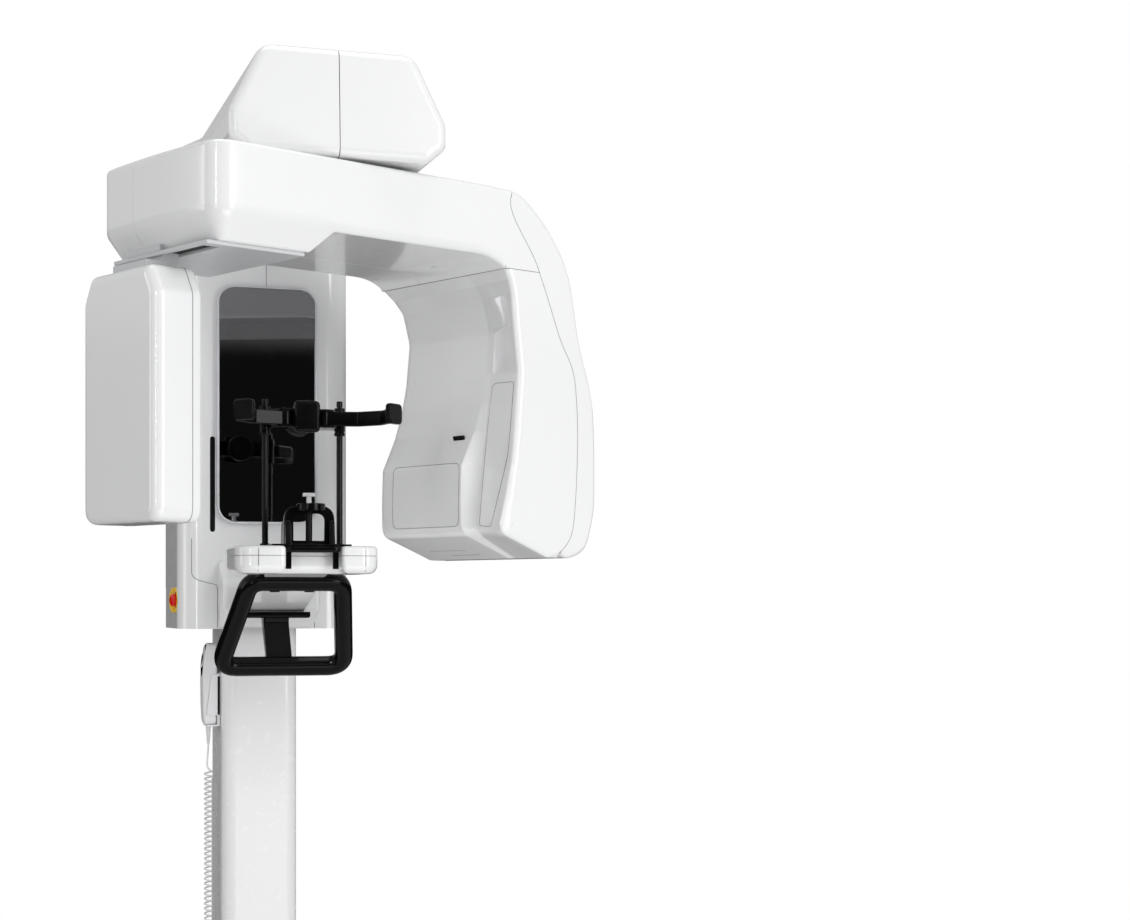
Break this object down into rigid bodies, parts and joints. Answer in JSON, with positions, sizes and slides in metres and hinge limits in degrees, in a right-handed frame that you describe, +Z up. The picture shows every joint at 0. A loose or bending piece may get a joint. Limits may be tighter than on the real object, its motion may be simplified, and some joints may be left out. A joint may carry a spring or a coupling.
{
  "type": "panoramic x-ray machine",
  "caption": "Dental panoramic x-ray machine: column with sliding carriage, top shelf, C-shaped rotating arm with tube head and sensor head, chin table, handle and head support.",
  "frame": {"origin": "on the floor under the centre of the column, at the underside of the base plate", "axes": "+Z up, -Y towards the patient side, +X to the patient-side viewer's right"},
  "size_m": [0.9004, 1.1341, 2.056],
  "materials": {
    "white_shell": "smooth satin-gloss painted shells",
    "column_paint": "satin powder coat on extruded aluminium",
    "white_plastic": "fine satin",
    "grey_trim": "satin",
    "satin_aluminium": "satin anodised",
    "smoked_glass": "polished dark mirror",
    "base_paint": "powder coat",
    "steel": "machined",
    "machined_aluminium": "machined",
    "gloss_black": "gloss",
    "black_rod": "black anodised",
    "black_rubber": "matte",
    "white_cord": "satin",
    "yellow_plastic": "gloss",
    "red_plastic": "gloss",
    "clear_plastic": "translucent"
  },
  "bodies": {
    "column": {"base_plate": "base_paint", "column_extrusion": "column_paint", "lift_actuator": "steel", "rear_cable_duct": "column_paint", "handset_holder": "white_plastic", "handset_body": "white_plastic", "handset_key_panel": "gloss_black", "cord_strain_relief": "gloss_black", "handset_lead": "white_cord", "handset_curly_cord": "white_cord", "cord_socket": "white_plastic"},
    "exposure_button": {"exposure_button": "gloss_black"},
    "carriage": {"guide_liner": "gloss_black", "carriage_frame": "steel", "lift_ram": "steel", "carriage_front_cover": "white_shell", "alignment_light": "smoked_glass", "carriage_rear_cover": "white_shell", "carriage_lower_cover": "white_shell", "mirror_bezel": "satin_aluminium", "mirror_glass": "smoked_glass", "stop_collar_left": "yellow_plastic", "stop_collar_right": "yellow_plastic", "rear_connector": "gloss_black", "harness_cable": "black_rubber", "shelf_cover_left": "white_shell", "shelf_cover_right": "white_shell", "shelf_floor": "white_shell", "shelf_beam": "steel", "bearing_outer_ring": "steel", "rotation_motor": "gloss_black", "drive_belt": "black_rubber", "table_support_arm": "white_shell", "control_strip": "gloss_black", "chin_table": "white_shell", "chin_rest_frame": "gloss_black", "bite_block": "clear_plastic", "support_rod_left": "black_rod", "support_rod_right": "black_rod", "patient_handle": "gloss_black"},
    "stop_button_left": {"stop_button_left": "red_plastic"},
    "stop_button_right": {"stop_button_right": "red_plastic"},
    "motor_pulley": {"motor_pulley": "machined_aluminium"},
    "head_support": {"head_support_bridge": "gloss_black", "forehead_pad": "gloss_black"},
    "clamp_knob": {"clamp_knob": "gloss_black"},
    "temple_arm_left": {"temple_arm_left": "gloss_black"},
    "temple_arm_right": {"temple_arm_right": "gloss_black"},
    "rotating_arm": {"arm_cover_front": "white_shell", "arm_cover_rear": "white_shell", "sensor_track_plate": "grey_trim", "arm_frame": "steel", "arm_hub": "machined_aluminium", "xray_tube_tank": "machined_aluminium", "tube_head_cover": "white_shell", "tube_head_back_shell": "white_shell"},
    "sensor_head": {"sensor_cover_outer": "white_shell", "sensor_cover_inner": "white_shell", "flat_panel_detector": "machined_aluminium", "sensor_carrier": "grey_trim"}
  },
  "joints": [
    {"name": "column_lift", "type": "slide", "parent": "column", "child": "carriage", "axis": [0, 0, 1], "range_m": [-0.36, 0.28]},
    {"name": "arm_rotation", "type": "hinge", "parent": "carriage", "child": "rotating_arm", "pos_m": [0, -0.672, 1.872], "axis": [0, 0, 1], "range_deg": [-228, 6]},
    {"name": "motor_pulley_spin", "type": "hinge", "parent": "carriage", "child": "motor_pulley", "pos_m": [0, -0.372, 1.957], "axis": [0, 0, 1], "range_deg": [-690, 20]},
    {"name": "sensor_shift", "type": "slide", "parent": "rotating_arm", "child": "sensor_head", "axis": [0.4067, -0.9135, 0], "range_m": [0, 0.118]},
    {"name": "head_support_height", "type": "slide", "parent": "carriage", "child": "head_support", "axis": [0, 0, 1], "range_m": [-0.1, 0.005]},
    {"name": "temple_left_swing", "type": "hinge", "parent": "head_support", "child": "temple_arm_left", "pos_m": [-0.035, -0.552, 1.4775], "axis": [0, 0, 1], "range_deg": [-12, 12]},
    {"name": "temple_right_swing", "type": "hinge", "parent": "head_support", "child": "temple_arm_right", "pos_m": [0.035, -0.552, 1.4775], "axis": [0, 0, 1], "range_deg": [-12, 12]},
    {"name": "clamp_knob_turn", "type": "hinge", "parent": "head_support", "child": "clamp_knob", "pos_m": [0, -0.4932, 1.4775], "axis": [0, 1, 0], "range_deg": [-61, 61]},
    {"name": "stop_left_press", "type": "slide", "parent": "carriage", "child": "stop_button_left", "axis": [1, 0, 0], "range_m": [0, 0.004], "stiffness_N_per_m": 800},
    {"name": "stop_right_press", "type": "slide", "parent": "carriage", "child": "stop_button_right", "axis": [-1, 0, 0], "range_m": [0, 0.004], "stiffness_N_per_m": 800},
    {"name": "exposure_press", "type": "slide", "parent": "column", "child": "exposure_button", "axis": [1, 0, 0], "range_m": [0, 0.002], "stiffness_N_per_m": 500}
  ],
  "couplings": [
    {"joint": "motor_pulley_spin", "follows": "arm_rotation", "ratio": 3},
    {"joint": "temple_right_swing", "follows": "temple_left_swing", "ratio": -1},
    {"joint": "clamp_knob_turn", "follows": "temple_left_swing", "ratio": 5}
  ]
}
